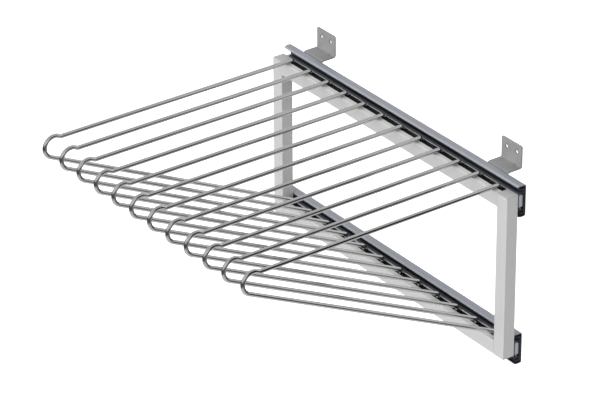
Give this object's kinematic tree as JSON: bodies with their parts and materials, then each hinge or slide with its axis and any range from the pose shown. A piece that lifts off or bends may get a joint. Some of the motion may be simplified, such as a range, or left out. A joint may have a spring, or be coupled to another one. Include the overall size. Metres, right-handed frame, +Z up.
{
  "type": "pull-out trouser rack",
  "caption": "Side-mounted pull-out trouser rack: a slotted tube frame with bent wire hangers on two telescopic ball-bearing runners, held by bent wall brackets.",
  "frame": {"origin": "On the wall plane, midway between the two screw holes of the upper rear bracket.", "axes": "+X is the pull-out direction, +Y points into the wall that the rack is screwed to, +Z is up."},
  "size_m": [0.5, 0.4417, 0.319],
  "materials": {
    "anodised_frame": "satin anodised aluminium, fine drawn grain",
    "cap_grey": "moulded plastic, fine matt texture",
    "chrome_wire": "bright chrome plate",
    "holder_black": "moulded plastic, matt",
    "lock_steel": "rolled steel strip",
    "key_zinc": "die-cast zinc",
    "screw_steel": "zinc-plated steel",
    "runner_zinc": "rolled steel, blue-passivated zinc",
    "cage_black": "pressed cage, dark finish",
    "ball_steel": "polished bearing steel",
    "buffer_grey": "moulded soft plastic, matt",
    "bracket_steel": "bent sheet steel, matt zinc"
  },
  "bodies": {
    "wall_mount": {"bracket_top_rear": "bracket_steel", "bracket_top_front": "bracket_steel", "bracket_bottom_rear": "bracket_steel", "bracket_bottom_front": "bracket_steel", "runner_fixed_top": "runner_zinc", "runner_fixed_bottom": "runner_zinc", "rear_buffer_top": "buffer_grey", "rear_buffer_bottom": "buffer_grey", "bracket_rivets_top": "screw_steel", "bracket_rivets_bottom": "screw_steel"},
    "carriage": {"stile_rear": "anodised_frame", "stile_front": "anodised_frame", "rail_top": "anodised_frame", "rail_bottom": "anodised_frame", "stile_cap_rear_top": "cap_grey", "stile_cap_rear_bottom": "cap_grey", "stile_cap_front_top": "cap_grey", "stile_cap_front_bottom": "cap_grey", "corner_keys": "key_zinc", "corner_screws": "screw_steel", "lock_strip_top": "lock_steel", "hanger_holder_top": "holder_black", "hanger_holder_bottom": "holder_black", "hanger_01": "chrome_wire", "hanger_02": "chrome_wire", "hanger_03": "chrome_wire", "hanger_04": "chrome_wire", "hanger_05": "chrome_wire", "hanger_06": "chrome_wire", "hanger_07": "chrome_wire", "hanger_08": "chrome_wire", "hanger_09": "chrome_wire", "hanger_10": "chrome_wire", "hanger_11": "chrome_wire", "hanger_12": "chrome_wire", "runner_drawer_top": "runner_zinc", "runner_drawer_bottom": "runner_zinc", "runner_screws_top": "screw_steel", "runner_screws_bottom": "screw_steel", "front_buffer_top": "buffer_grey", "front_buffer_bottom": "buffer_grey"},
    "middle_top": {"runner_middle_top": "runner_zinc"},
    "outer_cage_top": {"ball_cage_outer_top": "cage_black", "balls_outer_top": "ball_steel"},
    "inner_cage_top": {"ball_cage_inner_top": "cage_black", "balls_inner_top": "ball_steel"},
    "middle_bottom": {"runner_middle_bottom": "runner_zinc"},
    "outer_cage_bottom": {"ball_cage_outer_bottom": "cage_black", "balls_outer_bottom": "ball_steel"},
    "inner_cage_bottom": {"ball_cage_inner_bottom": "cage_black", "balls_inner_bottom": "ball_steel"}
  },
  "joints": [
    {"name": "carriage_slide", "type": "slide", "parent": "wall_mount", "child": "carriage", "axis": [1, 0, 0], "range_m": [0, 0.5]},
    {"name": "middle_top_slide", "type": "slide", "parent": "wall_mount", "child": "middle_top", "axis": [1, 0, 0], "range_m": [0, 0.25]},
    {"name": "outer_cage_top_slide", "type": "slide", "parent": "wall_mount", "child": "outer_cage_top", "axis": [1, 0, 0], "range_m": [0, 0.125]},
    {"name": "inner_cage_top_slide", "type": "slide", "parent": "wall_mount", "child": "inner_cage_top", "axis": [1, 0, 0], "range_m": [0, 0.375]},
    {"name": "middle_bottom_slide", "type": "slide", "parent": "wall_mount", "child": "middle_bottom", "axis": [1, 0, 0], "range_m": [0, 0.25]},
    {"name": "outer_cage_bottom_slide", "type": "slide", "parent": "wall_mount", "child": "outer_cage_bottom", "axis": [1, 0, 0], "range_m": [0, 0.125]},
    {"name": "inner_cage_bottom_slide", "type": "slide", "parent": "wall_mount", "child": "inner_cage_bottom", "axis": [1, 0, 0], "range_m": [0, 0.375]}
  ],
  "couplings": [
    {"joint": "middle_top_slide", "follows": "carriage_slide", "ratio": 0.5},
    {"joint": "outer_cage_top_slide", "follows": "carriage_slide", "ratio": 0.25},
    {"joint": "inner_cage_top_slide", "follows": "carriage_slide", "ratio": 0.75},
    {"joint": "middle_bottom_slide", "follows": "carriage_slide", "ratio": 0.5},
    {"joint": "outer_cage_bottom_slide", "follows": "carriage_slide", "ratio": 0.25},
    {"joint": "inner_cage_bottom_slide", "follows": "carriage_slide", "ratio": 0.75}
  ]
}
